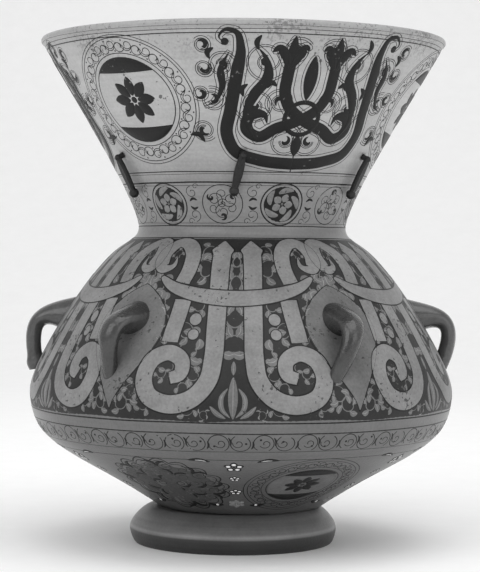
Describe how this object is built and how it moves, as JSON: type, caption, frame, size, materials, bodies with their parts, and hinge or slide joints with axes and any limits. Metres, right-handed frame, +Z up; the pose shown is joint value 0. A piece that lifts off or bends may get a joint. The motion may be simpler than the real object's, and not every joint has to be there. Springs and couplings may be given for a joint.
{
  "type": "mosque lamp",
  "caption": "Standing or hanging glass mosque lamp: flaring neck, full body, rolled foot, loop handles on the shoulder, neck pins that carry a lift-out oil glass and wick.",
  "frame": {"origin": "centre of the lamp's base, on the plane that the foot stands on", "axes": "+Z up along the vessel's axis, -Y towards the viewer of the picture, +X to the viewer's right through a handle"},
  "size_m": [0.2849, 0.278, 0.33],
  "materials": {
    "enamelled_glass": "pale blown glass with dark enamel ornament",
    "grey_glass": "dark grey glossy glass with faint streaks",
    "dark_iron": "forged and blackened",
    "clear_glass": "thin clear glass",
    "dull_brass": "dull with age",
    "cotton": "twisted cotton, charred at the tip"
  },
  "bodies": {
    "lamp": {"glass_vessel": "enamelled_glass", "foot_ring": "grey_glass", "handle_1": "grey_glass", "handle_2": "grey_glass", "handle_3": "grey_glass", "handle_4": "grey_glass", "handle_5": "grey_glass", "handle_6": "grey_glass", "hanger_wire_1": "dark_iron", "hanger_wire_2": "dark_iron", "hanger_wire_3": "dark_iron", "hanger_wire_4": "dark_iron", "hanger_wire_5": "dark_iron", "hanger_wire_6": "dark_iron", "collar": "dark_iron"},
    "pin_1": {"neck_pin_1": "dark_iron"},
    "pin_2": {"neck_pin_2": "dark_iron"},
    "pin_3": {"neck_pin_3": "dark_iron"},
    "pin_4": {"neck_pin_4": "dark_iron"},
    "pin_5": {"neck_pin_5": "dark_iron"},
    "pin_6": {"neck_pin_6": "dark_iron"},
    "oil_glass": {"oil_glass": "clear_glass"},
    "wick_holder": {"wick_bridge": "dull_brass", "wick_tube": "dull_brass"},
    "wick": {"wick": "cotton"}
  },
  "joints": [
    {"name": "pin_1_swing", "type": "hinge", "parent": "lamp", "child": "pin_1", "pos_m": [0.07653, 0.04418, 0.252], "axis": [0.7678, 0.4433, -0.4627], "range_deg": [-30, 30]},
    {"name": "pin_2_swing", "type": "hinge", "parent": "lamp", "child": "pin_2", "pos_m": [0, 0.08837, 0.252], "axis": [0, 0.8865, -0.4627], "range_deg": [-30, 30]},
    {"name": "pin_3_swing", "type": "hinge", "parent": "lamp", "child": "pin_3", "pos_m": [-0.07653, 0.04418, 0.252], "axis": [-0.7678, 0.4433, -0.4627], "range_deg": [-30, 30]},
    {"name": "pin_4_swing", "type": "hinge", "parent": "lamp", "child": "pin_4", "pos_m": [-0.07653, -0.04418, 0.252], "axis": [-0.7678, -0.4433, -0.4627], "range_deg": [-30, 30]},
    {"name": "pin_5_swing", "type": "hinge", "parent": "lamp", "child": "pin_5", "pos_m": [0, -0.08837, 0.252], "axis": [0, -0.8865, -0.4627], "range_deg": [-18, 42]},
    {"name": "pin_6_swing", "type": "hinge", "parent": "lamp", "child": "pin_6", "pos_m": [0.07653, -0.04418, 0.252], "axis": [0.7678, -0.4433, -0.4627], "range_deg": [-30, 30]},
    {"name": "oil_glass_lift", "type": "slide", "parent": "lamp", "child": "oil_glass", "axis": [0, 0, 1], "range_m": [0, 0.22]},
    {"name": "wick_holder_lift", "type": "slide", "parent": "oil_glass", "child": "wick_holder", "axis": [0, 0, 1], "range_m": [0, 0.1]},
    {"name": "wick_raise", "type": "slide", "parent": "wick_holder", "child": "wick", "axis": [0, 0, 1], "range_m": [-0.004, 0.012]}
  ]
}
